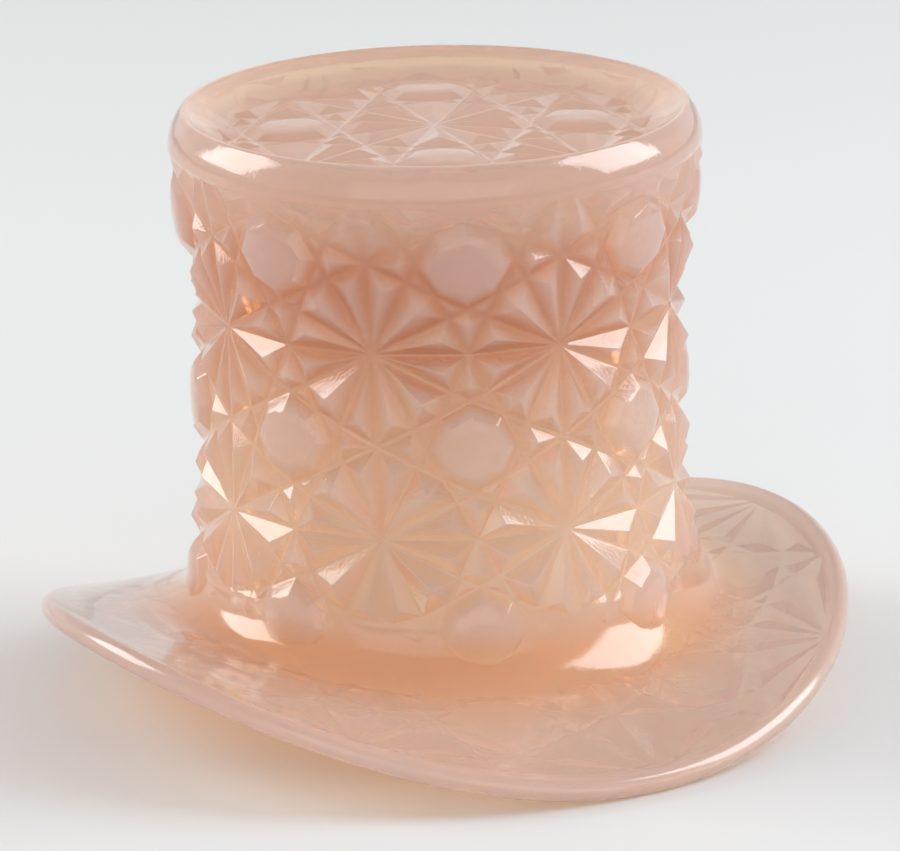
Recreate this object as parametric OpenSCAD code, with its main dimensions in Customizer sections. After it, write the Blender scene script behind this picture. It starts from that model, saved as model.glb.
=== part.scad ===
// Pressed glass top hat in the daisy and button pattern, standing on its brim.
// The glass is one pressing. It is drawn as the zones that the mould forms, which meet face to face:
// the recessed crown end, the stand ring round it, the crown wall, the collar and the brim.
// X runs through the raised sides of the brim, Y through its dipped front and back, and Z along the crown.

/* [Crown] */
// Height over all, from the dipped edges of the brim to the crest of the stand ring
overall_h = 61.4; // [55:0.2:75]
// Diameter of the crown over the pattern, below the flare
crown_d = 50; // [46:0.5:58]
// Growth of the crown's radius from the foot of the flare to the stand ring
crown_flare = 2; // [0:0.1:3]
// Height of the flared stretch, which ends at the stand ring
flare_h = 14; // [6:0.5:24]
// Thickness of the crown wall and of the brim at its root, over the pattern
wall_t = 3.6; // [2.8:0.1:5]

/* [Crown end] */
// Depth of the buttons of the crown end below the crest of the stand ring
end_recess = 1.7; // [1:0.1:2.4]
// Rise of the crown end from its edge to its middle
end_rise = 0.4; // [0.2:0.05:0.8]
// Thickness of the crown end over its buttons
end_t = 4; // [3:0.1:6]
// Radius of the fillet where the crown end turns into the bore
end_fillet = 3; // [1:0.25:5]

/* [Stand ring] */
// Height of the smooth band of the stand ring
ring_h = 3.2; // [2.6:0.1:5]
// Width of the flat crest
ring_flat = 0.6; // [0.4:0.1:1]
// Radius of the shoulder outside the crest
ring_shoulder = 1.2; // [0.6:0.1:2]
// Width of the slope from the crest in to the crown end
ring_slope = 1.7; // [1:0.1:2.2]

/* [Brim] */
// Diameter of the brim in plan
brim_d = 83; // [74:0.5:100]
// Dip of the front and back edges below the raised sides
brim_dip = 10.8; // [0:0.2:14]
// Thickness of the brim at its rounded edge
brim_edge_t = 2.4; // [1.6:0.1:3.4]
// Power of the curl: one gives a straight rise, higher numbers keep the curl to the edge
brim_curl = 1.5; // [1:0.1:3]
// Radius of the cove between the crown and the brim
cove_r = 3; // [1.5:0.25:5]

/* [Pattern] */
// Daisies round the crown
columns = 8; // [6:1:10]
// Height of one row of the pattern
row_pitch = 19; // [16:0.5:24]
// Drop from the crest to the middle of the first row of buttons
first_row_drop = 10; // [8:0.25:14]
// Height of the pattern over its grooves
relief = 1.3; // [0.8:0.1:1.6]
// Rise of each button's dome over its bevel
button_dome = 0.3; // [0:0.05:0.5]
// Turn of the pattern for each row, in degrees
pattern_lean = 1.2; // [0:0.1:2]
// Pitch of the pattern on the crown end
end_pitch = 20.6; // [16:0.2:24]
// Turn of the pattern on the crown end, in degrees
end_turn = 18; // [0:1:90]

/* [Hidden] */
$fn = 96;
CLEAR = 1;

// Levels and radii
crown_r = crown_d / 2;
bore_r = crown_r - wall_t;
top_r = crown_r + crown_flare;
brim_r = brim_d / 2;
collar_r = crown_r + cove_r;
brim_under_z = brim_dip / 2;
cove_z = brim_under_z + wall_t + cove_r;
ring_z = overall_h - ring_h;
button_z = overall_h - first_row_drop;
end_z = overall_h - end_recess;
ceiling_z = end_z - end_t;
seat_z = ceiling_z - end_fillet;
crest_out_r = top_r - ring_shoulder;
crest_in_r = crest_out_r - ring_flat;
end_r = crest_in_r - ring_slope;
ring_foot_z = end_z - relief / 2;

// Pattern: one cell, a pitch square, has a daisy at each corner and a button in the middle.
// Its straight grooves cross at these distances from the cell's corner, in pitches
MIDDLE = 1 / 2;
NEAR = 1 / 5;
FAR = 2 / 5;
BUTTON_SIDE = 1 / 4;
BUTTON_CORNER = 1 / 3;
LONG_EDGE = 1 / 4;
BUTTON_FLAT = 0.6;
// Outlines of the facets at one corner of the cell: three petals, a star point and two small triangles
PETALS = [
    [[0, 0], [MIDDLE, 0], [FAR, NEAR]],
    [[0, 0], [NEAR, FAR], [0, MIDDLE]],
    [[0, 0], [FAR, NEAR], [BUTTON_CORNER, BUTTON_CORNER], [NEAR, FAR]]
];
STAR_POINT = [[MIDDLE, 0], [1 - FAR, NEAR], [MIDDLE, BUTTON_SIDE], [FAR, NEAR]];
TRIANGLES = [
    [[FAR, NEAR], [MIDDLE, BUTTON_SIDE], [BUTTON_CORNER, BUTTON_CORNER]],
    [[NEAR, FAR], [BUTTON_CORNER, BUTTON_CORNER], [BUTTON_SIDE, MIDDLE]]
];
FACETS = concat(PETALS, [STAR_POINT], TRIANGLES);
BUTTON = [[BUTTON_CORNER, BUTTON_CORNER], [MIDDLE, BUTTON_SIDE]];

function total(list, i = 0) = i < len(list) ? list[i] + total(list, i + 1) : 0;
function next(p, i) = p[(i + 1) % len(p)];
function sides(p) = [for (i = [0:len(p) - 1]) norm(next(p, i) - p[i])];
function double_area(p) = total([for (i = [0:len(p) - 1]) cross(p[i], next(p, i))]);
// Radius and middle of the circle that touches every side of a triangle or a kite
function inscribed_r(p) = double_area(p) / total(sides(p));
function incentre(p) =
    len(p) == 3
        ? let (s = sides(p)) (p[0] * s[1] + p[1] * s[2] + p[2] * s[0]) / total(s)
        : let (s = sides(p)) (p[0] * s[1] + p[2] * s[0]) / (s[0] + s[1]);
slope = relief / inscribed_r(PETALS[2]);

// A quarter turn about the middle of the cell, made a number of times
function turned(p, times) = times == 0 ? p : turned([1 - p[1], p[0]], times - 1);
function button_outline() = [for (t = [0:3]) for (p = BUTTON) turned(p, t)];
function shrunk(p, share) = [for (c = p) MIDDLE + (c - MIDDLE) * share];
// A long edge is cut in two, so that it follows a curved wall
function cut(a, b) = norm(b - a) > LONG_EDGE ? [a, (a + b) / 2] : [a];
function split(outline) = [for (i = [0:len(outline) - 1]) each cut(outline[i], next(outline, i))];
// Triangles from each edge of an outline to its apex, as points of u, v and height over the grooves
function fan(outline, h, apex, apex_h) = [
    for (i = [0:len(outline) - 1])
        let (a = outline[i], b = next(outline, i))
            [[b[0], b[1], h], [a[0], a[1], h], [apex[0], apex[1], apex_h]]
];
function facet_faces() = [
    for (f = FACETS) for (t = [0:3])
        each fan([for (p = split(f)) turned(p, t)], 0, turned(incentre(f), t), inscribed_r(f) * slope)
];
function bevel_faces() = let (o = button_outline()) [
    for (i = [0:len(o) - 1])
        let (a = o[i], b = next(o, i), c = shrunk(a, BUTTON_FLAT), d = shrunk(b, BUTTON_FLAT))
            each [
                [[b[0], b[1], 0], [a[0], a[1], 0], [c[0], c[1], relief]],
                [[b[0], b[1], 0], [c[0], c[1], relief], [d[0], d[1], relief]]
            ]
];
function dome_faces() = fan(
    [for (p = button_outline()) shrunk(p, BUTTON_FLAT)], relief, [MIDDLE, MIDDLE], relief + button_dome);
CELL_FACES = concat(facet_faces(), bevel_faces(), dome_faces());
// Points that belong together are made equal to the last digit, so that the faces close
GRID = 1000000;
function snapped(p) = [for (c = p) round(c * GRID) / GRID];
// Faces of a block of cells
function block_faces(across, up) = [
    for (i = [0:across - 1]) for (j = [0:up - 1]) for (f = CELL_FACES)
        [for (p = f) snapped([p[0] + i, p[1] + j, p[2]])]
];
// Points along one straight edge of a block, at the grooves
function edge_points(cells, v) = [
    for (i = [0:2 * cells - 1])
        for (p = cut([i * MIDDLE, v], [(i + 1) * MIDDLE, v])) snapped([p[0], p[1], 0])
];

// A solid from loose faces, each a list of points
module solid_of(faces) {
    starts = [for (i = 0, n = 0; i < len(faces); n = n + len(faces[i]), i = i + 1) n];
    polyhedron(
        points = [for (f = faces) each f],
        faces = [for (i = [0:len(faces) - 1]) [for (k = [0:len(faces[i]) - 1]) starts[i] + k]]
    );
}

// Crown wall pattern, from the daisies above the first row of buttons down past the cove
rows = ceil((button_z + row_pitch / 2 - cove_z) / row_pitch);
wall_foot_z = button_z - row_pitch * (rows - 0.5);
function wall_r(z) = crown_r + crown_flare * min(1, max(0, (z - ring_z + flare_h) / flare_h));
function wall_point(p) =
    let (
        z = wall_foot_z + p[1] * row_pitch,
        turn = 360 * (p[0] % columns) / columns + pattern_lean * (button_z - row_pitch - z) / row_pitch,
        r = wall_r(z) - relief + p[2]
    ) [r * cos(turn), r * sin(turn), z];
module wall_relief() {
    sides = [for (f = block_faces(columns, rows)) [for (p = f) wall_point(p)]];
    ring_of = function (v) [for (p = edge_points(columns, v)) wall_point(p)];
    top_ring = ring_of(rows);
    foot = ring_of(0);
    top = [for (i = [len(top_ring) - 1:-1:0]) top_ring[i]];
    solid_of(concat(sides, [top, foot]));
}

// Crown end pattern, a square block of cells with a daisy in the middle
end_cells = 2 * ceil(end_r / end_pitch);
function end_point(p) =
    let (
        x = (p[0] - end_cells / 2) * end_pitch,
        y = (p[1] - end_cells / 2) * end_pitch
    ) [x, y, end_z - relief + p[2] - end_rise * (x * x + y * y) / (end_r * end_r)];
module end_relief() {
    reach = end_cells * end_pitch / 2;
    foot_z = seat_z - CLEAR;
    top = [for (f = block_faces(end_cells, end_cells)) [for (p = f) end_point(p)]];
    edge = [for (p = concat(edge_points(end_cells, 0), [[end_cells, 0, 0]])) end_point(p)];
    turn_left = function (p, times) times == 0 ? p : turn_left([-p[1], p[0], p[2]], times - 1);
    sides = [for (t = [0:3]) [
        for (p = concat(edge, [[reach, -reach, foot_z], [-reach, -reach, foot_z]])) turn_left(p, t)
    ]];
    foot = [for (t = [0:3]) turn_left([-reach, -reach, foot_z], t)];
    rotate(end_turn) solid_of(concat(top, sides, [foot]));
}

// Blank of the crown end: a disc with a seat below and the rounded end of the bore in it
module end_blank() {
    rotate_extrude() difference() {
        translate([0, seat_z]) square([end_r, overall_h - seat_z]);
        translate([0, seat_z - CLEAR]) square([bore_r - end_fillet, end_fillet + CLEAR]);
        intersection() {
            translate([bore_r - end_fillet, seat_z]) circle(end_fillet);
            translate([0, seat_z - CLEAR]) square([bore_r, end_fillet + 2 * CLEAR]);
        }
    }
}

// Recessed end of the crown, patterned outside and smooth inside
module crown_end() {
    color([0.87, 0.74, 0.70]) intersection() {
        end_blank();
        end_relief();
    }
}

// Smooth ring that the hat stands on when it holds things
module stand_ring() {
    color([0.84, 0.71, 0.66]) rotate_extrude() difference() {
        union() {
            translate([end_r, ring_z]) square([crest_out_r - end_r, ring_h]);
            translate([end_r, ring_z]) square([top_r - end_r, ring_h - ring_shoulder]);
            translate([crest_out_r, overall_h - ring_shoulder]) circle(ring_shoulder);
        }
        polygon([
            [end_r, ring_foot_z],
            [crest_in_r, overall_h],
            [crest_in_r, overall_h + CLEAR],
            [end_r - CLEAR, overall_h + CLEAR],
            [end_r - CLEAR, ring_foot_z]
        ]);
    }
}

// Wall of the crown, patterned outside, with a plain bore and a seat for the crown end
module crown_wall() {
    color([0.80, 0.58, 0.46]) difference() {
        intersection() {
            wall_relief();
            translate([0, 0, cove_z]) cylinder(r = top_r + CLEAR, h = ring_z - cove_z);
        }
        translate([0, 0, cove_z - CLEAR]) cylinder(r = bore_r, h = overall_h);
        translate([0, 0, seat_z]) cylinder(r = end_r, h = overall_h);
    }
}

// Smooth collar where the wall turns out into the brim, coved outside and rounded inside
module brim_collar() {
    color([0.83, 0.65, 0.56]) rotate_extrude() difference() {
        translate([bore_r, brim_under_z]) square([collar_r - bore_r, cove_z - brim_under_z]);
        translate([collar_r, cove_z]) circle(cove_r);
        difference() {
            translate([bore_r - CLEAR, brim_under_z - CLEAR])
                square([collar_r - bore_r + CLEAR, cove_z - brim_under_z + CLEAR]);
            translate([collar_r, cove_z]) circle(cove_r + wall_t);
        }
    }
}

// Brim: a saddle with its sides raised and a rounded edge
BRIM_SPOKES = 72;
BRIM_STEPS = 8;
EDGE_STEPS = 6;
edge_r = brim_r - brim_edge_t / 2;
brim_start_r = collar_r - CLEAR;
function brim_share(r) = max(0, (r - collar_r) / (edge_r - collar_r));
function under_z(r, turn) = brim_under_z * (1 + cos(2 * turn) * pow(brim_share(r), brim_curl));
function brim_t(r) = wall_t + (brim_edge_t - wall_t) * brim_share(r);
function brim_section(turn) = concat(
    [for (i = [0:BRIM_STEPS])
        let (r = brim_start_r + (edge_r - brim_start_r) * i / BRIM_STEPS) [r, under_z(r, turn)]],
    [for (i = [1:EDGE_STEPS - 1])
        let (a = -90 + 180 * i / EDGE_STEPS, half = brim_edge_t / 2)
            [edge_r + half * cos(a), under_z(edge_r, turn) + half + half * sin(a)]],
    [for (i = [BRIM_STEPS:-1:0])
        let (r = brim_start_r + (edge_r - brim_start_r) * i / BRIM_STEPS) [r, under_z(r, turn) + brim_t(r)]]
);
module brim_sheet() {
    sections = [for (k = [0:BRIM_SPOKES - 1]) brim_section(360 * k / BRIM_SPOKES)];
    count = len(sections[0]);
    function index(k, i) = (k % BRIM_SPOKES) * count + i % count;
    polyhedron(
        points = [for (k = [0:BRIM_SPOKES - 1]) let (turn = 360 * k / BRIM_SPOKES)
            for (p = sections[k]) [p[0] * cos(turn), p[0] * sin(turn), p[1]]],
        faces = [for (k = [0:BRIM_SPOKES - 1]) for (i = [0:count - 1]) each [
            [index(k, i), index(k, i + 1), index(k + 1, i)],
            [index(k + 1, i), index(k, i + 1), index(k + 1, i + 1)]
        ]]
    );
}
module brim() {
    color([0.84, 0.67, 0.58]) difference() {
        brim_sheet();
        translate([0, 0, -CLEAR]) cylinder(r = collar_r, h = overall_h);
    }
}

crown_end();
stand_ring();
crown_wall();
brim_collar();
brim();
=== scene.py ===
"""A pressed glass top hat with a daisy and button pattern, on a pale studio floor."""
import math
from contextlib import contextmanager

import bmesh
import bpy
from bpy.props import FloatProperty, FloatVectorProperty, IntProperty, PointerProperty
from mathutils import Matrix, Vector


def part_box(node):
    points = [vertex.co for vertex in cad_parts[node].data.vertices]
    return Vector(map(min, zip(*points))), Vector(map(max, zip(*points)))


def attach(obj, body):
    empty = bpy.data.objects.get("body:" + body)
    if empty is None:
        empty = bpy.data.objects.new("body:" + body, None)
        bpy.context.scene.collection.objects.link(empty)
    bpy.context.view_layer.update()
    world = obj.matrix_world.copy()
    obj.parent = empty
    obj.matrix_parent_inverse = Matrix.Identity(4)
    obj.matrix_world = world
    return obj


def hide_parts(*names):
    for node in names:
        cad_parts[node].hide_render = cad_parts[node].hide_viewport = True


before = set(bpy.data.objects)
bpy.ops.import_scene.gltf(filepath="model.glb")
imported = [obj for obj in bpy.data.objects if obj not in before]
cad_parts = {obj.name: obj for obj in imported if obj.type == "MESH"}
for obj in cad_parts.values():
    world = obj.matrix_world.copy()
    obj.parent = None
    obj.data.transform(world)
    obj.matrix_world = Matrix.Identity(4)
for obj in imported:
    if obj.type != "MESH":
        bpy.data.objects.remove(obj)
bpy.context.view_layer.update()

RING_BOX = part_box("stand_ring")
COLLAR_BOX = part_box("brim_collar")
BRIM_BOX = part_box("brim")
END_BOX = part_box("crown_end")

bl_info = {
    "name": "Pressed Glass Hat",
    "version": (1, 0, 0),
    "blender": (4, 5, 0),
    "location": "View3D > Sidebar > Glass Hat",
    "description": "Models a pressed opalescent glass hat and sets it on a studio floor",
    "category": "Add Mesh",
}

# The glass is modelled at a thousand times its size, in millimetres, because the
# mesh tools round off lengths of a few micrometres.
MM = 1000.0

# Straight grooves of one unit cell of the pattern, as the slope and rise of each line.
# They leave a button in the middle, daisies at the corners and stars between them.
GROOVES = ((2, 0), (2, -1), (-2, 1), (-2, 2), (0.5, 0), (0.5, 0.5), (-0.5, 0.5), (-0.5, 1))
# Areas of the cell's button and of its pointed facets, from the long petals to the small
# slivers, each with how far off a facet's area may be.
BUTTON_AREA, BUTTON_SLACK = 1 / 6, 0.01
POINT_AREAS, POINT_SLACK = (1 / 15, 1 / 20, 1 / 40, 1 / 120), 0.0005
PETAL_INRADIUS = 0.25 / math.sqrt(5)
# How far in and how far up each step of the button goes, and the lift of its middle.
BUTTON_STEPS = ((0.062, 0.78), (0.030, 0.20), (0.040, 0.10), (0.045, 0.05))
BUTTON_TIP = 0.01
# A pointed facet is inset by a little less than its inradius, which leaves a small face to lift.
POINT_INSET = 0.985
# Edges of the cell below the first height lie in a groove, and above the second on a dome.
GROOVE_HEIGHT, DOME_HEIGHT = 0.01, 0.5
# The ridges are softened this much as widely as the grooves, and the crown end's edges less
# than the rest.
RIDGE_SHARE = 0.45
END_SOFT_SHARE = 0.65
# Distances in which points are welded: in a cell, in a spun outline and in a shaped sheet.
CELL_WELD, SPIN_WELD, SHEET_WELD = 0.0001, 0.001, 0.002

SPIN_STEPS = 144
WALL_ROWS = 3
SEAM_COLUMNS = (1, 3, 5, 7)
# In millimetres: from the ring's crest down to the middle of the wall's pattern, the
# radius of the brim's edge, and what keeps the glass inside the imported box.
MIDDLE_ROW_DROP = 29.0
BRIM_EDGE = 1.2
BOX_MARGIN = 0.01
SMOOTH_ANGLE = math.radians(38)

# How far the ring's rounded shoulder reaches down from its crest, in metres.
SHOULDER_DROP = 0.0036
# Height at which the crown starts to widen towards the brim, and how the widening curves.
FOOT_TOP = 0.030
FOOT_CURVE = 1.6

# How strongly a metre of the glass scatters light and takes colour out of it, and how far
# the scattered light keeps its direction.
MILK_DENSITY = 280.0
TINT_DENSITY = 110.0
MILK_FORWARD = 0.2
COAT = 0.45
GLASS_FINISH = {"IOR": 1.5, "Transmission Weight": 0.92, "Coat Weight": COAT}
SKIN_ROUGHNESS = 0.04
# The glass's roughness where it is smoothest, and what its clouds add to that.
SMOOTHEST, CLOUD_ROUGHNESS = 0.02, 0.03

# Zones of the glass for its material, each as where it starts and where it is full.
# Heights above the rest plane, in metres:
WALL_START, WALL_END = (0.011, 0.015), (0.052, 0.059)
# The core zone takes the core colour, darker as painted shade of the hollow behind it.
SHADED_CORE_START, SHADED_CORE_END = (0.018, 0.046), (0.050, 0.057)
UPPER_START = (0.016, 0.050)
END_START = (0.050, 0.0605)
# Painted highlight lines in the grooves fade out between these heights:
GROOVE_HIGHLIGHT_END = (0.022, 0.046)
COVE_TOP = (0.012, 0.016)
# Distances from the axis, in metres:
# The ring's inner slope, which is painted pale with the lower wall's painted light:
SLOPE_START, SLOPE_END = (0.0218, 0.0232), (0.0252, 0.0257)
RING_START = (0.0252, 0.0258)
COVE_END = (0.0275, 0.0335)
BRIM_START = (0.029, 0.036)
EDGE_START = (0.036, 0.041)
RIM_START = (0.0388, 0.0410)
# Shares of the relief, which is 0 in the grooves and 1 on the petals' tops:
TOPS_START = (0.05, 0.8)
GROOVE_HIGHLIGHT_RELIEF = (0.0, 0.12)
# Values of the cloudy noise at which it shows in the colour and in the roughness:
CLOUD_COLOUR_START, CLOUD_ROUGH_START = (0.35, 0.75), (0.3, 0.8)

# How much of its colour each zone takes: milk with a painted sheen on the tops, painted highlight lines in
# the grooves, orange at the brim's edge and milk in the clouds.
TOPS_MILK_AND_SHEEN, GROOVE_HIGHLIGHT_SHARE, EDGE_SHARE, CLOUD_SHARE = 0.85, 0.8, 0.35, 0.12
# How much of the surface is milk: on the upper crown, more on its tops, the brim and its rim.
UPPER_MILK, TOPS_MILK, BRIM_MILK, RIM_MILK = 0.05, 0.1, 0.18, 0.3
# Noise scale and detail of the clouds, the fine ripples and the broad waves in the glass.
CLOUDS, RIPPLES, WAVES = (90.0, 2.0), (3200.0, 1.0), (320.0, 1.0)
RIPPLE_HEIGHT, WAVE_HEIGHT = 0.2, 0.4
BUMP = {"Strength": 0.25, "Distance": 0.0004}

FLOOR_WIDTH = 6.0
FLOOR_FINISH = {"Base Color": (0.75, 0.75, 0.747, 1), "Roughness": 0.6, "Specular IOR Level": 0.15}
WALL_WHITE, CEILING_GREY = (1, 1, 1, 1), (0.42, 0.42, 0.43, 1)
CEILING_START = (0.1, 0.9)
WORLD_STRENGTH = 0.875
# The camera's place round the hat and its roll, where it looks and from how far, in
# metres, and its lens in millimetres.
CAMERA_AZIMUTH, CAMERA_ELEVATION, CAMERA_ROLL = (math.radians(a) for a in (-29.884, 16.706, -1.2107))
CAMERA_AIM = Vector((0.00077, -0.00044, 0.02752))
CAMERA_DISTANCE = 0.675
CAMERA_LENS = 264.5
# Each lamp's name, its turn from the camera and height in degrees, its distance, width
# and height in metres, its power in watts and its colour.
SOFTBOXES = (
    ("left_softbox", -103, 27, 0.7, 0.38, 0.42, 2.7, (1.0, 0.97, 0.93)),
    ("right_softbox", 93, 32, 0.7, 0.44, 0.50, 3.9, (0.90, 0.96, 1.0)),
    ("front_panel", 0, 18, 1.6, 2.4, 1.2, 6.0, (1.0, 1.0, 1.0)),
)
LAMP_AIM = Vector((0, 0, 0.03))


class HatSizes(bpy.types.PropertyGroup):
    """Sizes of the pressed glass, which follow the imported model."""
    overall_height: FloatProperty(
        name="Height", description="From the rest plane to the crest of the ring",
        default=RING_BOX[1][2], unit="LENGTH")
    brim_radius: FloatProperty(
        name="Brim Radius", description="From the axis to the brim's rounded edge",
        default=BRIM_BOX[1][0], unit="LENGTH")
    crown_radius: FloatProperty(
        name="Crown Radius", description="Over the pattern's tops, at the crown's waist",
        default=0.0254, unit="LENGTH")
    crown_flare: FloatProperty(
        name="Flare", description="How much the crown widens towards the ring",
        default=0.0016, unit="LENGTH")
    flare_height: FloatProperty(
        name="Flare Height", description="Height over which the crown widens",
        default=0.014, unit="LENGTH")
    foot_flare: FloatProperty(
        name="Foot Flare", description="How much the crown widens towards the brim",
        default=0.0013, unit="LENGTH")
    foot_height: FloatProperty(
        name="Foot Height", description="Height over which the crown widens to the brim",
        default=0.020, unit="LENGTH")
    wall: FloatProperty(
        name="Wall", description="Thickness of the crown's wall over the pattern",
        default=0.004, unit="LENGTH")
    brim_wall: FloatProperty(
        name="Brim Thickness", description="Thickness of the brim beside the crown",
        default=0.0036, unit="LENGTH")
    relief: FloatProperty(
        name="Relief", description="Depth of the pressed pattern on the crown",
        default=0.0013, unit="LENGTH")
    end_relief: FloatProperty(
        name="End Relief", description="Depth of the pattern on the crown end",
        default=0.0007, unit="LENGTH")
    brim_relief: FloatProperty(
        name="Brim Relief", description="Depth of the pattern under the brim",
        default=0.00065, unit="LENGTH")
    row_pitch: FloatProperty(
        name="Row Pitch", description="Height of one row of the pattern",
        default=0.019, unit="LENGTH")
    columns: IntProperty(
        name="Columns", description="Pattern columns round the crown", default=8, min=4)
    pattern_lean: FloatProperty(
        name="Lean", description="Turn of the pattern from one row to the next",
        default=math.radians(1.2), subtype="ANGLE")
    end_pitch: FloatProperty(
        name="End Pitch", description="Size of one pattern cell on the crown end",
        default=0.0206, unit="LENGTH")
    end_turn: FloatProperty(
        name="End Turn", description="Turn of the pattern on the crown end",
        default=math.radians(18), subtype="ANGLE")
    soft_edge: FloatProperty(
        name="Fire Polish", description="Width of the softened edges of the pattern",
        default=0.00028, unit="LENGTH")


class HatColours(bpy.types.PropertyGroup):
    """Colours of the glass from place to place, with painted light low on the crown and on the ring's inner
    slope, painted shade in the core, painted highlight lines in the grooves and a painted sheen on the
    pattern's tops.
    """
    crown_end: FloatVectorProperty(
        name="Crown End", description="Milky glass of the end", size=4,
        default=(0.81, 0.77, 0.75, 1), subtype="COLOR", min=0, max=1)
    ring: FloatVectorProperty(
        name="Ring", description="Denser glass of the ring and the band below it", size=4,
        default=(0.64, 0.60, 0.58, 1), subtype="COLOR", min=0, max=1)
    # The core colour is the glass's warm tint, made darker as painted shade of the dark hollow behind the
    # upper wall.
    core: FloatVectorProperty(
        name="Core", description="Warm glass of the crown under the end", size=4,
        default=(0.77, 0.47, 0.29, 1), subtype="COLOR", min=0, max=1)
    # The lower wall's pale colour is warm glass with painted light, as if the floor and the mouth lit the
    # low crown; it is also painted on the ring's inner slope.
    lower: FloatVectorProperty(
        name="Lower Wall", description="Warm glass low on the crown", size=4,
        default=(1.0, 0.95, 0.82, 1), subtype="COLOR", min=0, max=1)
    # The groove colour paints highlight lines: the pale lines in the grooves stand in for light glinting
    # along them.
    groove: FloatVectorProperty(
        name="Groove Lines", description="Pale lines in the grooves low on the crown", size=4,
        default=(1.0, 0.98, 0.92, 1), subtype="COLOR", min=0, max=1)
    cove: FloatVectorProperty(
        name="Cove", description="Orange glass where the crown meets the brim", size=4,
        default=(1.0, 0.77, 0.53, 1), subtype="COLOR", min=0, max=1)
    brim: FloatVectorProperty(
        name="Brim", description="Peach glass of the brim", size=4,
        default=(0.88, 0.84, 0.80, 1), subtype="COLOR", min=0, max=1)
    # Milk is the glass's milky bloom; on the pattern's tops it is also a painted sheen, and in the clouds
    # it is the glass's own random milk.
    milk: FloatVectorProperty(
        name="Milk", description="Pale bloom on the pattern's tops", size=4,
        default=(0.88, 0.94, 1.0, 1), subtype="COLOR", min=0, max=1)
    bloom: FloatVectorProperty(
        name="Bloom", description="Light that the milk inside the glass scatters", size=4,
        default=(0.54, 0.71, 1.0, 1), subtype="COLOR", min=0, max=1)
    depth: FloatVectorProperty(
        name="Depth", description="Light that passes the tint inside the glass", size=4,
        default=(0.95, 0.62, 0.36, 1), subtype="COLOR", min=0, max=1)
    skin: FloatVectorProperty(
        name="Skin", description="Milk at the surface of the upper crown and the brim", size=4,
        default=(0.64, 0.44, 0.39, 1), subtype="COLOR", min=0, max=1)
    glow: FloatVectorProperty(
        name="Glow", description="Lamp light that each surface of the glass lets through", size=4,
        default=(0.73, 0.61, 0.44, 1), subtype="COLOR", min=0, max=1)


def clear_selection():
    if bpy.context.object and bpy.context.object.mode != "OBJECT":
        bpy.ops.object.mode_set(mode="OBJECT")
    bpy.ops.object.select_all(action="DESELECT")


@contextmanager
def editing(piece):
    """Edit mode on one piece alone, with nothing selected in it."""
    clear_selection()
    bpy.context.view_layer.objects.active = piece
    piece.select_set(True)
    bpy.ops.object.mode_set(mode="EDIT")
    bpy.ops.mesh.select_mode(type="VERT")
    bpy.ops.mesh.select_all(action="DESELECT")
    yield
    bpy.ops.object.mode_set(mode="OBJECT")


def choose(piece, kind, test):
    """Select the verts, edges or faces that pass a test, and nothing else."""
    bpy.ops.mesh.select_mode(type={"verts": "VERT", "edges": "EDGE", "faces": "FACE"}[kind])
    bpy.ops.mesh.select_all(action="DESELECT")
    mesh = bmesh.from_edit_mesh(piece.data)
    found = 0
    for item in getattr(mesh, kind):
        if not item.hide and test(item):
            item.select_set(True)
            found += 1
    mesh.select_flush_mode()
    bmesh.update_edit_mesh(piece.data)
    if not found:
        raise RuntimeError(f"{piece.name}: no {kind} to work on")


def on_border(edge):
    return edge.is_boundary


def apply_modifier(piece, kind, **settings):
    modifier = piece.modifiers.new(kind.title(), kind)
    for name, value in settings.items():
        setattr(modifier, name, value)
    clear_selection()
    bpy.context.view_layer.objects.active = piece
    piece.select_set(True)
    bpy.ops.object.modifier_apply(modifier=modifier.name)


def combine(piece, tool, operation):
    """Join, cut or trim a piece by a tool, which is used up."""
    apply_modifier(piece, "BOOLEAN", operation=operation, solver="MANIFOLD", object=tool)
    bpy.data.meshes.remove(tool.data)
    if not piece.data.polygons:
        raise RuntimeError(f"{piece.name}: nothing is left after {operation}")


def reshape(piece, place):
    """Move each point of a piece to the place that a rule gives it."""
    for vertex in piece.data.vertices:
        vertex.co = place(*vertex.co)
    piece.data.update()


def arc(centre, radius, start, end, steps):
    """Points of an arc in the outline's plane, from one angle to another in degrees."""
    turns = [math.radians(start + (end - start) * i / steps) for i in range(steps + 1)]
    return [(centre[0] + radius * math.cos(a), centre[1] + radius * math.sin(a)) for a in turns]


def spin_outline(name, outline):
    """Draw a half section point by point and spin it round the crown's axis."""
    clear_selection()
    bpy.ops.mesh.primitive_plane_add(size=1.0)
    piece = bpy.context.object
    piece.name = name
    with editing(piece):
        bpy.ops.mesh.select_all(action="SELECT")
        bpy.ops.mesh.merge(type="CENTER")
        bpy.ops.transform.translate(value=(outline[0][0], 0, outline[0][1]))
        for (r0, z0), (r1, z1) in zip(outline, outline[1:]):
            bpy.ops.mesh.extrude_vertices_move(
                TRANSFORM_OT_translate={"value": (r1 - r0, 0, z1 - z0)})
        bpy.ops.mesh.select_all(action="SELECT")
        bpy.ops.mesh.spin(steps=SPIN_STEPS, angle=math.tau, center=(0, 0, 0), axis=(0, 0, 1))
        bpy.ops.mesh.select_all(action="SELECT")
        bpy.ops.mesh.remove_doubles(threshold=SPIN_WELD)
        bpy.ops.mesh.normals_make_consistent(inside=False)
    return piece


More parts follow.
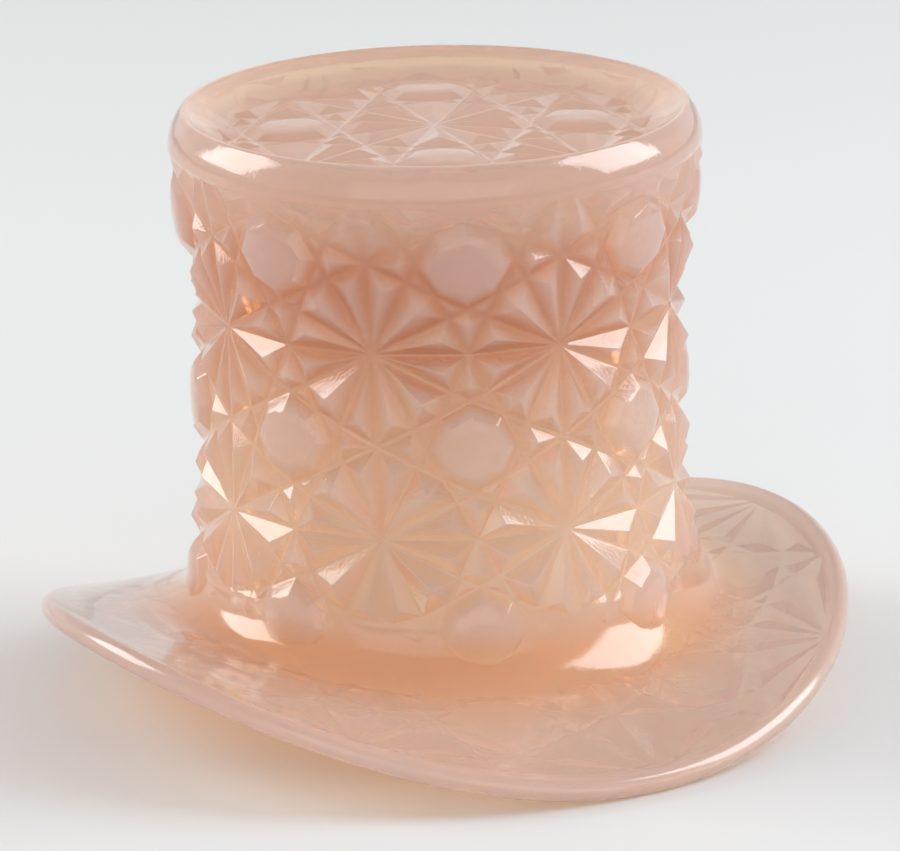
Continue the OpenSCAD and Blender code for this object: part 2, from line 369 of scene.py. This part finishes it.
class HatPlan:
    """The hat's sizes in millimetres, and the lines that its parts share."""

    def __init__(self, sizes):
        self.sizes = sizes
        for name in ("crown_radius", "crown_flare", "flare_height", "foot_flare", "foot_height", "wall",
                     "brim_wall", "relief", "end_relief", "brim_relief", "row_pitch", "end_pitch",
                     "soft_edge", "overall_height", "brim_radius"):
            setattr(self, name, getattr(sizes, name) * MM)
        self.bore = self.crown_radius - self.wall
        self.ring_radius = RING_BOX[1][0] * MM
        self.end_top = END_BOX[1][2] * MM
        self.end_radius = END_BOX[1][0] * MM
        self.cove_foot = COLLAR_BOX[1][2] * MM
        self.collar_radius = COLLAR_BOX[1][0] * MM
        self.brim_under = COLLAR_BOX[0][2] * MM
        self.shoulder_foot = self.overall_height - SHOULDER_DROP * MM
        self.flare_foot = self.shoulder_foot - self.flare_height
        self.foot_top = FOOT_TOP * MM
        self.middle_row = self.overall_height - MIDDLE_ROW_DROP
        self.edge = BRIM_EDGE
        self.edge_radius = self.brim_radius - self.edge

    def wall_radius(self, z):
        flare = min(1.0, max(0.0, (z - self.flare_foot) / self.flare_height))
        foot = max(0.0, (self.foot_top - z) / self.foot_height) ** FOOT_CURVE
        return self.crown_radius + self.crown_flare * flare * (2 - flare) + self.foot_flare * foot

    def column_turn(self, u, z):
        lean = self.sizes.pattern_lean * (self.middle_row - z) / self.row_pitch
        return math.tau * u / self.sizes.columns + lean

    def brim_share(self, r, start):
        return min(1.0, max(0.0, (r - start) / (self.edge_radius - start)))

    def brim_top(self, r):
        thinning = (self.brim_wall - 2 * self.edge) * self.brim_share(r, self.collar_radius)
        return self.brim_under + self.brim_wall - thinning


def facet_inradius(face):
    return 2 * face.calc_area() / face.calc_perimeter()


def pattern_cell():
    """One unit cell of the daisy and button pattern, flat, with a relief of one."""
    clear_selection()
    bpy.ops.mesh.primitive_plane_add(size=1.0, location=(0.5, 0.5, 0))
    cell = bpy.context.object
    cell.name = "pattern_cell"
    bpy.ops.object.transform_apply(location=True, rotation=False, scale=False)
    with editing(cell):
        for slope, rise in GROOVES:
            bpy.ops.mesh.select_all(action="SELECT")
            bpy.ops.mesh.bisect(plane_co=(0, rise, 0), plane_no=Vector((slope, -1, 0)).normalized())
        bpy.ops.mesh.select_all(action="SELECT")
        bpy.ops.mesh.remove_doubles(threshold=CELL_WELD)
        raise_button(cell)
        for area in POINT_AREAS:
            raise_points(cell, area)
        bpy.ops.mesh.reveal(select=False)
        weigh_edges(cell)
    return cell


def weigh_edges(cell):
    """Say how much each edge is softened: grooves most, ridges less, the domes not at all."""

    def in_groove(edge):
        return all(corner.co.z < GROOVE_HEIGHT for corner in edge.verts)

    def on_dome(edge):
        return all(corner.co.z > DOME_HEIGHT for corner in edge.verts)

    choose(cell, "edges", in_groove)
    bpy.ops.transform.edge_bevelweight(value=1.0)
    choose(cell, "edges", lambda edge: not in_groove(edge) and not on_dome(edge))
    bpy.ops.transform.edge_bevelweight(value=RIDGE_SHARE)


def inset(thickness, depth):
    bpy.ops.mesh.inset(use_individual=True, use_even_offset=True, thickness=thickness, depth=depth)


def raise_button(cell):
    """Step the octagon up into a low dome with a sloping border."""
    choose(cell, "faces", lambda face: abs(face.calc_area() - BUTTON_AREA) < BUTTON_SLACK)
    for thickness, depth in BUTTON_STEPS:
        inset(thickness, depth)
    draw_to_point(BUTTON_TIP)
    put_aside(cell)


def raise_points(cell, area):
    """Raise each facet of one size to a point over its inscribed circle."""
    choose(cell, "faces", lambda face: abs(face.calc_area() - area) < POINT_SLACK)
    mesh = bmesh.from_edit_mesh(cell.data)
    inradius = facet_inradius(next(face for face in mesh.faces if face.select))
    inset(inradius * POINT_INSET, 0)
    draw_to_point(inradius / PETAL_INRADIUS)
    put_aside(cell)


def draw_to_point(height):
    """Shrink each selected face to a point and lift it."""
    bpy.ops.mesh.select_mode(type="VERT")
    bpy.ops.mesh.merge(type="COLLAPSE")
    bpy.ops.transform.translate(value=(0, 0, height))


def put_aside(cell):
    """Hide the facets that are already raised."""
    choose(cell, "faces", lambda face: any(corner.co.z > GROOVE_HEIGHT for corner in face.verts))
    bpy.ops.mesh.hide(unselected=False)


def pattern_sheet(name, across, up):
    """A flat sheet of pattern cells, welded where they meet."""
    sheet = pattern_cell()
    sheet.name = name
    for count, step in ((across, (1, 0, 0)), (up, (0, 1, 0))):
        if count > 1:
            apply_modifier(sheet, "ARRAY", count=count, use_relative_offset=False,
                           use_constant_offset=True, constant_offset_displace=step,
                           use_merge_vertices=True, merge_threshold=CELL_WELD)
    return sheet


def weld_and_soften(sheet, width):
    """Close a shaped sheet's seam and round its grooves and ridges."""
    with editing(sheet):
        bpy.ops.mesh.select_all(action="SELECT")
        bpy.ops.mesh.remove_doubles(threshold=SHEET_WELD)
    apply_modifier(sheet, "BEVEL", limit_method="WEIGHT", width=width, segments=2,
                   use_clamp_overlap=True)


def crown_wall_pattern(plan):
    """The pattern rolled into a plug as wide as the crown."""
    sheet = pattern_sheet("wall_pattern", plan.sizes.columns, WALL_ROWS)
    low_row = plan.middle_row - WALL_ROWS / 2 * plan.row_pitch
    fade_height = 4.0

    def roll(u, v, height):
        z = low_row + v * plan.row_pitch
        turn = plan.column_turn(u, z)
        fade = min(1.0, max(0.0, 1 - (plan.shoulder_foot - z) / fade_height))
        depth = plan.relief * (1 - height) * (1 - fade * fade * (3 - 2 * fade))
        r = plan.wall_radius(z) - depth
        return (r * math.cos(turn), r * math.sin(turn), z)

    reshape(sheet, roll)
    weld_and_soften(sheet, plan.soft_edge)
    with editing(sheet):
        for is_end in (lambda z: z < plan.brim_under, lambda z: z > plan.end_top):
            choose(sheet, "edges", lambda edge: edge.is_boundary and is_end(edge.verts[0].co.z))
            bpy.ops.mesh.edge_face_add()
    core, neck, outside = 22.5, 23.9, 29.0
    low, high, top = 2.0, 55.0, plan.shoulder_foot
    envelope = [(core, low), (core, high), (neck, top), (outside, top), (outside, low), (core, low)]
    combine(sheet, spin_outline("wall_trim", envelope), "INTERSECT")
    return sheet


def mould_seam(plan, column):
    """The fine upright line that the mould's joint leaves in a groove between petals."""
    clear_selection()
    bpy.ops.mesh.primitive_cube_add(size=1.0)
    seam = bpy.context.object
    seam.name = "mould_seam"
    with editing(seam):
        choose(seam, "edges", lambda edge: abs(edge.verts[0].co.z - edge.verts[1].co.z) > 0.5)
        bpy.ops.mesh.subdivide(number_cuts=30)
    foot, head, width, proud, sunk = 8.0, 56.0, 0.18, 0.09, 0.9
    crest_share = 0.4

    def stand(x, y, z):
        height = foot + (head - foot) * (z + 0.5)
        turn = plan.column_turn(column, height)
        r = plan.wall_radius(height) - plan.relief + (proud if y > 0 else -sunk)
        turn += x * (width if y < 0 else width * crest_share) / r
        return (r * math.cos(turn), r * math.sin(turn), height)

    reshape(seam, stand)
    with editing(seam):
        bpy.ops.mesh.select_all(action="SELECT")
        bpy.ops.mesh.normals_make_consistent(inside=False)
    return seam


def crown_end_pattern(plan):
    """The pattern on the crown end, as a low dome trimmed to a disc."""
    cells = 4
    sheet = pattern_sheet("end_pattern", cells, cells)
    turn = Matrix.Rotation(plan.sizes.end_turn, 2)
    rise, thickness = 0.4, 2.5
    reach, lap = 6.0, 1.0

    def lay(u, v, height):
        flat = turn @ Vector((u - cells / 2, v - cells / 2)) * plan.end_pitch
        dome = rise * flat.length_squared / plan.end_radius ** 2
        return (flat.x, flat.y, plan.end_top - plan.end_relief * (1 - height) - dome)

    reshape(sheet, lay)
    weld_and_soften(sheet, plan.soft_edge * END_SOFT_SHARE)
    with editing(sheet):
        choose(sheet, "edges", on_border)
        bpy.ops.mesh.extrude_region_move(TRANSFORM_OT_translate={"value": (0, 0, -thickness)})
        bpy.ops.mesh.edge_face_add()
    low, high, r = plan.end_top - reach, plan.end_top + reach, plan.end_radius + lap
    combine(sheet, spin_outline("end_trim", [(0, low), (r, low), (r, high), (0, high)]), "INTERSECT")
    return sheet


def brim_pattern(plan):
    """The pattern under the brim, one row of wide cells fanned out round the crown."""
    sheet = pattern_sheet("brim_pattern", plan.sizes.columns, 1)
    inner, outer, thickness = 22.0, 40.0, 0.8

    def fan(u, v, height):
        r = inner + (outer - inner) * v
        turn = plan.column_turn(u, plan.brim_under)
        return (r * math.cos(turn), r * math.sin(turn), plan.brim_under + plan.brim_relief * (1 - height))

    reshape(sheet, fan)
    weld_and_soften(sheet, plan.soft_edge)
    with editing(sheet):
        choose(sheet, "edges", on_border)
        bpy.ops.mesh.extrude_region_move(TRANSFORM_OT_translate={"value": (0, 0, thickness)})
        bpy.ops.mesh.bridge_edge_loops()
    return sheet


def recess_line(plan):
    """From the axis over the sunk floor and up the slope inside the ring."""
    floor_radius, cover = 20.6, 0.8
    slope = ((21.6, -0.6), (22.5, -0.05), (23.5, 0.52))
    floor = plan.end_top - plan.end_relief - cover
    return [(0, floor), (floor_radius, floor)] + [(r, plan.end_top + rise) for r, rise in slope]


def ring_line(plan):
    """Over the ring's narrow crest, down its broad shoulder and in behind the pattern."""
    lip_radius, lip_drop = 24.5, 0.55
    crest_radius, crest_round = 25.28, 0.5
    shoulder, clear = 5.0, 0.02
    tucks = ((0.35, 0.55), (0.9, 1.25))
    crest = plan.overall_height - BOX_MARGIN
    foot = plan.shoulder_foot
    line = [(lip_radius, crest - lip_drop)]
    line += arc((crest_radius, crest - crest_round), crest_round, 130, 42, 8)
    line += arc((plan.ring_radius - clear - shoulder, foot), shoulder, 40, 0, 12)
    return line + [(plan.ring_radius - tuck, foot - drop) for tuck, drop in tucks]


def core_line(plan):
    """Down the core, behind the wall's pattern."""
    cover = 0.5
    depth = plan.relief + cover
    heights = (54.5, 50.0, 44.2, 36.0, 30.0, 26.0, 22.0, 19.0, 16.6)
    return [(plan.wall_radius(z) - depth, z) for z in heights]


def brim_line(plan):
    """Round the cove, out over the brim, round its edge and back underneath to the axis."""
    cove, cove_share, steps = 5.5, 0.85, 10
    edge_foot, edge_rise, cover = 0.5, 0.12, 0.05
    border, border_drop, pattern_edge, lap = 39.1, 0.1, 38.6, 1.0
    cove_z = plan.brim_top(0) + cove
    cove_r = plan.wall_radius(cove_z) + cove_share * cove
    line = arc((cove_r, cove_z), cove, 180, 270, 16)
    for i in range(1, steps):
        r = cove_r + (plan.edge_radius - cove_r) * i / steps
        line.append((r, plan.brim_top(r)))
    line += arc((plan.edge_radius - BOX_MARGIN, plan.brim_under + plan.edge), plan.edge, 90, -90, 14)
    under = plan.brim_under + plan.brim_relief + cover
    line += [(plan.edge_radius - edge_foot, plan.brim_under + edge_rise), (border, under - border_drop)]
    inward = pattern_edge - plan.bore + lap
    line += [(pattern_edge - inward * i / (steps - 1), under) for i in range(steps)]
    return line + [(0, under)]


def hat_blank(plan):
    """The plain hat before its pattern: recess, ring, core, cove and brim."""
    outline = recess_line(plan) + ring_line(plan) + core_line(plan) + brim_line(plan)
    return spin_outline("hat_glass", outline)


def crown_hollow(plan):
    """The plain plunger that presses the bore and the rounded mouth."""
    plunger_foot, mouth_lap = -6.0, 0.6
    ceiling_rise, corner, middle = 3.0, 3.0, 9.0
    bore_heights = (20.0, 30.0, 42.0)
    mouth = plan.collar_radius - plan.bore
    ceiling = END_BOX[0][2] * MM + ceiling_rise
    outline = [(0, plunger_foot), (plan.collar_radius, plunger_foot)]
    outline.append((plan.collar_radius, plan.brim_under - mouth_lap))
    outline += arc((plan.collar_radius, plan.cove_foot), mouth, 270, 180, 14)
    outline += [(plan.bore, z) for z in bore_heights]
    outline += arc((plan.bore - corner, ceiling - corner), corner, 0, 90, 8)
    outline += [(middle, ceiling), (0, ceiling)]
    return spin_outline("hollow", outline)


def curl_brim(plan, piece):
    """Raise two sides of the brim and drop the other two, as it was curled by hand."""
    curl_start, curl_power = 24.5, 1.2
    curl_top, curl_fade = 20.0, 7.0

    def curl(x, y, z):
        share = plan.brim_share(math.hypot(x, y), curl_start) ** curl_power
        fade = min(1.0, max(0.0, (curl_top - z) / curl_fade))
        return (x, y, z + plan.brim_under * math.cos(2 * math.atan2(y, x)) * share * fade)

    reshape(piece, curl)


class HAT_OT_glass(bpy.types.Operator):
    """Press the hat: pattern, blank, hollow and curled brim in one piece of glass"""
    bl_idname = "hat.glass"
    bl_label = "Press the Glass"

    def execute(self, context):
        plan = HatPlan(context.scene.hat_sizes)
        glass = hat_blank(plan)
        for pattern in (crown_wall_pattern, crown_end_pattern, brim_pattern):
            combine(glass, pattern(plan), "UNION")
        for column in SEAM_COLUMNS:
            combine(glass, mould_seam(plan, column), "UNION")
        combine(glass, crown_hollow(plan), "DIFFERENCE")
        curl_brim(plan, glass)
        glass.scale = (1 / MM,) * 3
        clear_selection()
        bpy.context.view_layer.objects.active = glass
        glass.select_set(True)
        bpy.ops.object.transform_apply(location=True, rotation=True, scale=True)
        bpy.ops.object.shade_smooth_by_angle(angle=SMOOTH_ANGLE)
        apply_modifier(glass, "WEIGHTED_NORMAL", mode="FACE_AREA", weight=60, keep_sharp=True)
        glass.data.materials.clear()
        glass.data.materials.append(opalescent_glass(context.scene.hat_sizes, context.scene.hat_colours))
        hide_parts("crown_end", "stand_ring", "crown_wall", "brim_collar", "brim")
        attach(glass, "root")
        return {"FINISHED"}


class Wire:
    """A socket in a material's node tree, with sums written as plain expressions."""

    def __init__(self, tree, socket):
        self.tree = tree
        self.socket = socket

    def node(self, kind, settings, inputs, output=0):
        """Add a node with its settings, then its sockets' values or links."""
        node = self.tree.nodes.new(kind)
        for name, value in settings.items():
            setattr(node, name, value)
        for name, value in inputs.items():
            if isinstance(value, Wire):
                self.tree.links.new(value.socket, node.inputs[name])
            else:
                node.inputs[name].default_value = value
        return Wire(self.tree, node.outputs[output])

    def sum(self, operation, first, second):
        return self.node("ShaderNodeMath", {"operation": operation}, {0: first, 1: second})

    def __add__(self, other):
        return self.sum("ADD", self, other)

    def __radd__(self, other):
        return self.sum("ADD", other, self)

    def __sub__(self, other):
        return self.sum("SUBTRACT", self, other)

    def __rsub__(self, other):
        return self.sum("SUBTRACT", other, self)

    def __mul__(self, other):
        return self.sum("MULTIPLY", self, other)

    def __rmul__(self, other):
        return self.sum("MULTIPLY", other, self)

    def __truediv__(self, other):
        return self.sum("DIVIDE", self, other)

    def __rtruediv__(self, other):
        return self.sum("DIVIDE", other, self)

    def __pow__(self, other):
        return self.sum("POWER", self, other)

    def __rpow__(self, other):
        return self.sum("POWER", other, self)

    def clamp(self):
        return self.node("ShaderNodeClamp", {}, {0: self})

    def rise(self, low, high):
        """From 0 at one value to 1 at another, eased at both ends."""
        return self.node("ShaderNodeMapRange", {"interpolation_type": "SMOOTHSTEP"},
                         {"Value": self, "From Min": low, "From Max": high})

    def noise(self, scale, detail):
        """Noise over the coordinates that this wire carries."""
        return self.node("ShaderNodeTexNoise", {}, {"Vector": self, "Scale": scale, "Detail": detail})

    def blend(self, first, second):
        """One colour to another as this value goes from 0 to 1."""
        return self.node("ShaderNodeMix", {"data_type": "RGBA"},
                         {0: self, 6: first, 7: second}, output=2)


def new_material(name):
    """A material, its shader and a wire from the object's coordinates."""
    material = bpy.data.materials.new(name)
    material.use_nodes = True
    tree = material.node_tree
    place = Wire(tree, tree.nodes.new("ShaderNodeTexCoord").outputs["Object"])
    return material, tree.nodes["Principled BSDF"], place


def set_finish(shader, finish):
    for socket, value in finish.items():
        shader.inputs[socket].default_value = value


def link(wire, shader, socket):
    wire.tree.links.new(wire.socket, shader.inputs[socket])


class GlassZones:
    """Places on the hat, as wires that go from 0 outside each to 1 well inside it."""

    def __init__(self, place, sizes):
        x, y, z = (place.node("ShaderNodeSeparateXYZ", {}, {0: place}, output=i) for i in range(3))
        radius = (x * x + y * y) ** 0.5
        shoulder_foot = sizes.overall_height - SHOULDER_DROP
        flare = ((z - shoulder_foot) / sizes.flare_height + 1.0).clamp()
        foot = ((FOOT_TOP - z) / sizes.foot_height).clamp() ** FOOT_CURVE
        tops_radius = flare * (2 - flare) * sizes.crown_flare + foot * sizes.foot_flare + sizes.crown_radius
        proud = (radius - tops_radius) / sizes.relief + 1.0
        self.tops = proud.rise(*TOPS_START)
        self.painted_groove_highlights = (1 - proud.rise(*GROOVE_HIGHLIGHT_RELIEF)) * (1 - z.rise(*GROOVE_HIGHLIGHT_END))
        self.wall = z.rise(*WALL_START) * (1 - z.rise(*WALL_END))
        self.core = z.rise(*SHADED_CORE_START) * (1 - z.rise(*SHADED_CORE_END))
        self.upper = z.rise(*UPPER_START)
        self.end = z.rise(*END_START)
        self.ring = radius.rise(*RING_START)
        self.slope = radius.rise(*SLOPE_START) * (1 - radius.rise(*SLOPE_END)) * self.end
        self.cove = (1 - z.rise(*COVE_TOP)) * (1 - radius.rise(*COVE_END))
        self.brim = radius.rise(*BRIM_START)
        self.edge = radius.rise(*EDGE_START)
        self.rim = radius.rise(*RIM_START)


def glass_colour(zones, clouds, colours):
    """The glass's colour from zone to zone: pale with painted light low on the crown and on the ring's
    inner slope, darker with painted shade in the core, with painted highlight lines in the grooves, and
    paler on the pattern's tops, as milk with a painted sheen, and in its clouds.
    """
    # The wall goes from pale painted light low on the crown to darker painted shade in the core.
    wall = zones.core.blend(tuple(colours.lower), tuple(colours.core))
    # The tops are paler with milk and with a painted sheen.
    wall = (zones.tops * TOPS_MILK_AND_SHEEN).blend(wall, tuple(colours.milk))
    # The grooves low on the crown get pale painted highlight lines.
    wall = (zones.painted_groove_highlights * GROOVE_HIGHLIGHT_SHARE).blend(wall, tuple(colours.groove))
    low = (zones.cove + zones.edge * EDGE_SHARE).blend(tuple(colours.brim), tuple(colours.cove))
    top = zones.ring.blend(tuple(colours.crown_end), tuple(colours.ring))
    # The ring's inner slope is painted pale with the lower wall's painted light.
    top = zones.slope.blend(top, tuple(colours.lower))
    colour = zones.end.blend(zones.wall.blend(low, wall), top)
    return (clouds.rise(*CLOUD_COLOUR_START) * CLOUD_SHARE).blend(colour, tuple(colours.milk))


def glass_bump(place, zones):
    """Fine ripples all over, with broader waves that are strongest on the crown end."""
    height = place.noise(*RIPPLES) * RIPPLE_HEIGHT + place.noise(*WAVES) * (zones.end + WAVE_HEIGHT)
    return place.node("ShaderNodeBump", {}, {**BUMP, "Height": height})


def glass_inside(place, colours):
    """Milk that scatters light inside the glass, and tint that takes blue out of it."""
    milk = place.node("ShaderNodeVolumeScatter", {},
                      {"Color": tuple(colours.bloom), "Density": MILK_DENSITY, "Anisotropy": MILK_FORWARD})
    tint = place.node("ShaderNodeVolumeAbsorption", {},
                      {"Color": tuple(colours.depth), "Density": TINT_DENSITY})
    return place.node("ShaderNodeAddShader", {}, {0: milk, 1: tint})


def opalescent_glass(sizes, colours):
    """Clear glass with milk and tint inside it and a thin share of milk at its surface."""
    material, shader, place = new_material("opalescent_glass")
    zones = GlassZones(place, sizes)
    clouds = place.noise(*CLOUDS)
    bump = glass_bump(place, zones)
    set_finish(shader, GLASS_FINISH)
    link(glass_colour(zones, clouds, colours), shader, "Base Color")
    link(bump, shader, "Normal")
    link(clouds.rise(*CLOUD_ROUGH_START) * CLOUD_ROUGHNESS + SMOOTHEST, shader, "Roughness")
    glass = Wire(material.node_tree, shader.outputs["BSDF"])
    skin = place.node("ShaderNodeBsdfPrincipled", {},
                      {"Base Color": tuple(colours.skin), "Roughness": SKIN_ROUGHNESS,
                       "Coat Weight": COAT, "Normal": bump})
    milky = zones.upper * (zones.tops * TOPS_MILK + UPPER_MILK) * (1 - zones.slope)
    milky = milky + zones.brim * BRIM_MILK + zones.rim * RIM_MILK
    surface = place.node("ShaderNodeMixShader", {}, {0: milky, 1: glass, 2: skin})
    # Lamp light passes the glass with a tint, so the glass throws a soft, warm shadow.
    lamp_ray = place.node("ShaderNodeLightPath", {}, {}, output="Is Shadow Ray")
    glow = place.node("ShaderNodeBsdfTransparent", {}, {"Color": tuple(colours.glow)})
    surface = place.node("ShaderNodeMixShader", {}, {0: lamp_ray, 1: surface, 2: glow})
    output = material.node_tree.nodes["Material Output"]
    link(surface, output, "Surface")
    link(glass_inside(place, colours), output, "Volume")
    material.cycles.volume_sampling = "DISTANCE"
    return material


class HAT_OT_stage(bpy.types.Operator):
    """Set up the pale floor, the soft lights and the camera"""
    bl_idname = "hat.stage"
    bl_label = "Set the Stage"

    def execute(self, context):
        scene = context.scene
        scene.view_settings.view_transform = "Standard"
        scene.cycles.volume_bounces = 6
        scene.cycles.max_bounces = 16
        scene.cycles.transmission_bounces = 10
        lay_floor()
        light_world(scene)
        for softbox in SOFTBOXES:
            hang_softbox(scene, *softbox)
        place_camera(scene)
        return {"FINISHED"}


def direction(azimuth, elevation):
    """A unit vector from the hat towards a place round it; azimuth 0 is towards -Y."""
    return Vector((math.sin(azimuth) * math.cos(elevation),
                   -math.cos(azimuth) * math.cos(elevation), math.sin(elevation)))


def lay_floor():
    clear_selection()
    bpy.ops.mesh.primitive_plane_add(size=FLOOR_WIDTH)
    floor = bpy.context.object
    floor.name = "floor"
    material, shader, _ = new_material("pale_floor")
    set_finish(shader, FLOOR_FINISH)
    floor.data.materials.append(material)


def light_world(scene):
    """White walls round the hat, and a dimmer ceiling."""
    world = bpy.data.worlds.new("studio")
    scene.world = world
    world.use_nodes = True
    tree = world.node_tree
    sky = tree.nodes["Background"]
    toward = Wire(tree, tree.nodes.new("ShaderNodeTexCoord").outputs["Generated"])
    height = toward.node("ShaderNodeSeparateXYZ", {}, {0: toward}, output=2)
    link(height.rise(*CEILING_START).blend(WALL_WHITE, CEILING_GREY), sky, "Color")
    sky.inputs["Strength"].default_value = WORLD_STRENGTH


def hang_softbox(scene, name, turn, height, distance, width, tall, power, colour):
    """Hang a soft lamp round the hat and turn it to face the hat."""
    lamp = bpy.data.lights.new(name, "AREA")
    lamp.shape = "RECTANGLE"
    lamp.size, lamp.size_y = width, tall
    lamp.energy = power
    lamp.color = colour
    box = bpy.data.objects.new(name, lamp)
    scene.collection.objects.link(box)
    out = direction(CAMERA_AZIMUTH + math.radians(turn), math.radians(height))
    box.location = LAMP_AIM + out * distance
    box.rotation_euler = (-out).to_track_quat("-Z", "Y").to_euler()


def place_camera(scene):
    """Stand the camera back from its aim, level with the floor and then rolled a little."""
    camera = bpy.data.objects.new("camera", bpy.data.cameras.new("camera"))
    scene.collection.objects.link(camera)
    back = direction(CAMERA_AZIMUTH, CAMERA_ELEVATION)
    level = (-back).cross(Vector((0, 0, 1))).normalized()
    right = level * math.cos(CAMERA_ROLL) + back.cross(level) * math.sin(CAMERA_ROLL)
    axes = Matrix((right, back.cross(right), back)).transposed().to_4x4()
    camera.matrix_world = Matrix.Translation(CAMERA_AIM + back * CAMERA_DISTANCE) @ axes
    camera.data.sensor_fit = "HORIZONTAL"
    camera.data.sensor_width = 36.0
    camera.data.lens = CAMERA_LENS
    camera.data.clip_start = 0.01
    scene.camera = camera


class HAT_PT_panel(bpy.types.Panel):
    """The hat's sizes and steps"""
    bl_idname = "HAT_PT_panel"
    bl_label = "Glass Hat"
    bl_space_type = "VIEW_3D"
    bl_region_type = "UI"
    bl_category = "Glass Hat"

    def draw(self, context):
        for group, holder in ((HatSizes, context.scene.hat_sizes), (HatColours, context.scene.hat_colours)):
            for name in group.__annotations__:
                self.layout.prop(holder, name)
        for step in (HAT_OT_glass, HAT_OT_stage):
            self.layout.operator(step.bl_idname)


CLASSES = (HatSizes, HatColours, HAT_OT_glass, HAT_OT_stage, HAT_PT_panel)


def register():
    for item in CLASSES:
        bpy.utils.register_class(item)
    bpy.types.Scene.hat_sizes = PointerProperty(type=HatSizes)
    bpy.types.Scene.hat_colours = PointerProperty(type=HatColours)


def unregister():
    del bpy.types.Scene.hat_sizes, bpy.types.Scene.hat_colours
    for item in reversed(CLASSES):
        bpy.utils.unregister_class(item)


def main():
    register()
    bpy.ops.hat.glass()
    bpy.ops.hat.stage()


if __name__ == "__main__":
    main()
